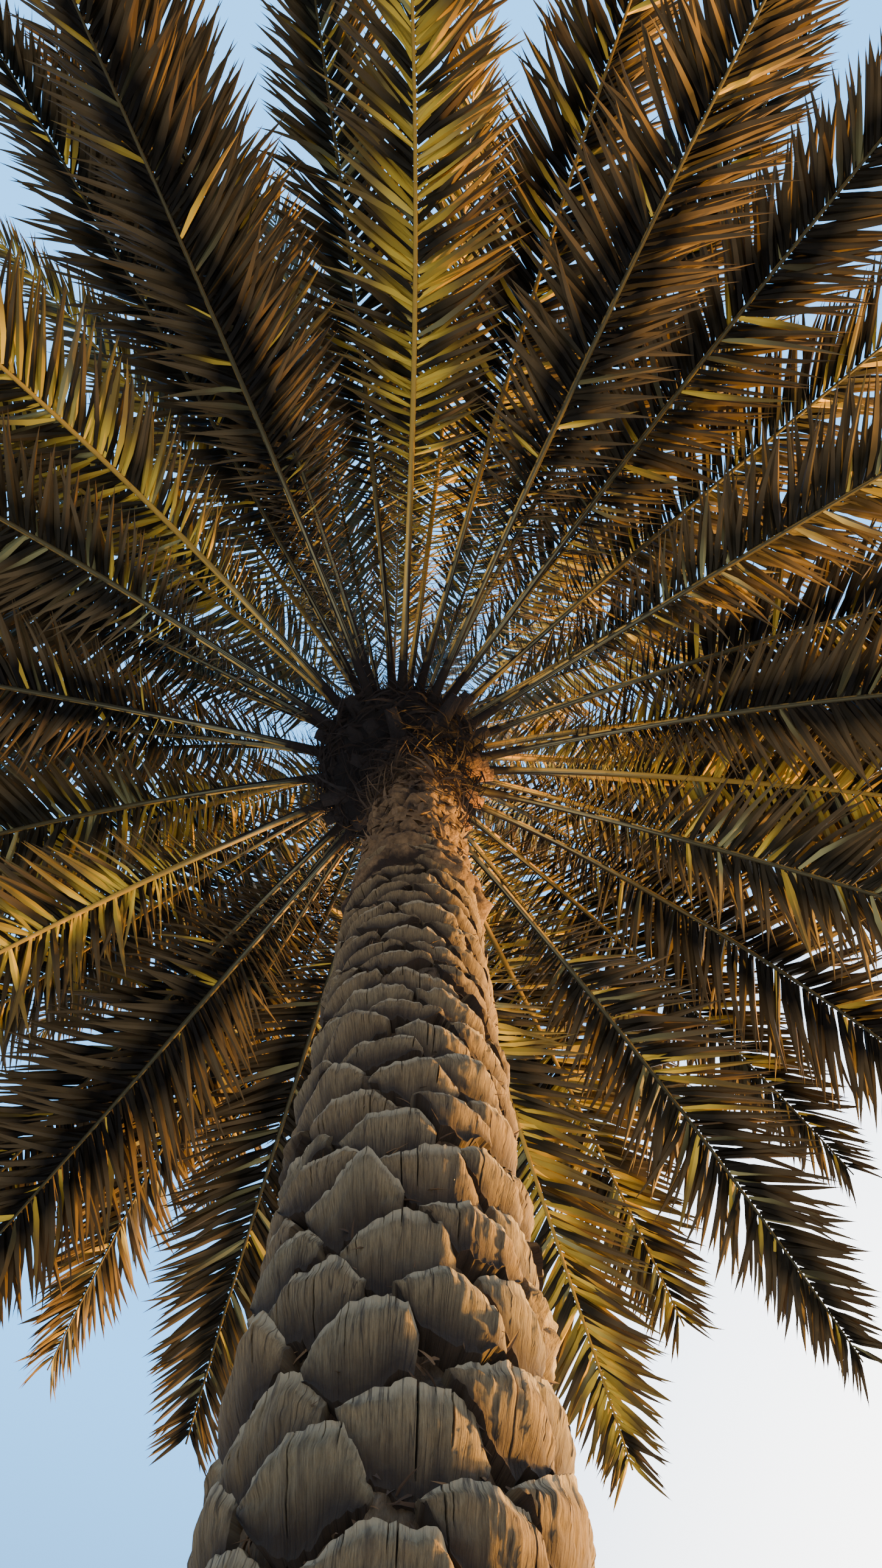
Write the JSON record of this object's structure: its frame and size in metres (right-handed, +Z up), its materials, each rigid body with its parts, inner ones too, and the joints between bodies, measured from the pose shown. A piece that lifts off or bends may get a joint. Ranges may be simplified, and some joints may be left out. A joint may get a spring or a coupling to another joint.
{
  "type": "date palm tree",
  "caption": "Tall date palm: a straight trunk clad in sawn-off leaf bases in a spiral, under a ball-shaped crown of arching feather fronds.",
  "frame": {"origin": "middle of the flat cut through the foot of the trunk, at ground level", "axes": "+Z up along the trunk; -Y faces the viewer at the foot of the trunk; the trunk leans slightly towards -X"},
  "size_m": [9.8733, 9.9018, 13.3113],
  "materials": {
    "bark": "rough weathered leaf bases",
    "fronds": "leathery leaflets, faintly glossy",
    "young_fronds": "leathery leaflets, faintly glossy"
  },
  "bodies": {
    "root": {"frond_01": "fronds", "frond_02": "fronds", "frond_03": "fronds", "frond_04": "fronds", "frond_05": "fronds", "frond_06": "fronds", "frond_07": "fronds", "frond_08": "fronds", "frond_09": "fronds", "frond_10": "fronds", "frond_11": "fronds", "frond_12": "fronds", "frond_13": "fronds", "frond_14": "fronds", "frond_15": "fronds", "frond_16": "fronds", "frond_17": "fronds", "frond_18": "fronds", "frond_19": "fronds", "frond_20": "fronds", "frond_21": "fronds", "frond_22": "fronds", "frond_23": "fronds", "frond_24": "fronds", "frond_25": "fronds", "frond_26": "fronds", "frond_27": "fronds", "frond_28": "fronds", "frond_29": "fronds", "frond_30": "fronds", "frond_31": "fronds", "frond_32": "fronds", "frond_33": "fronds", "frond_34": "fronds", "frond_35": "fronds", "frond_36": "fronds", "frond_37": "fronds", "frond_38": "fronds", "frond_39": "fronds", "frond_40": "fronds", "frond_41": "fronds", "frond_42": "fronds", "frond_43": "fronds", "frond_44": "fronds", "frond_45": "fronds", "frond_46": "fronds", "frond_47": "fronds", "frond_48": "fronds", "frond_49": "fronds", "frond_50": "fronds", "frond_51": "fronds", "frond_52": "fronds", "frond_53": "fronds", "frond_54": "fronds", "trunk": "bark", "young_fronds_1": "young_fronds", "young_fronds_2": "young_fronds", "young_fronds_3": "young_fronds", "young_fronds_4": "young_fronds"}
  },
  "joints": []
}
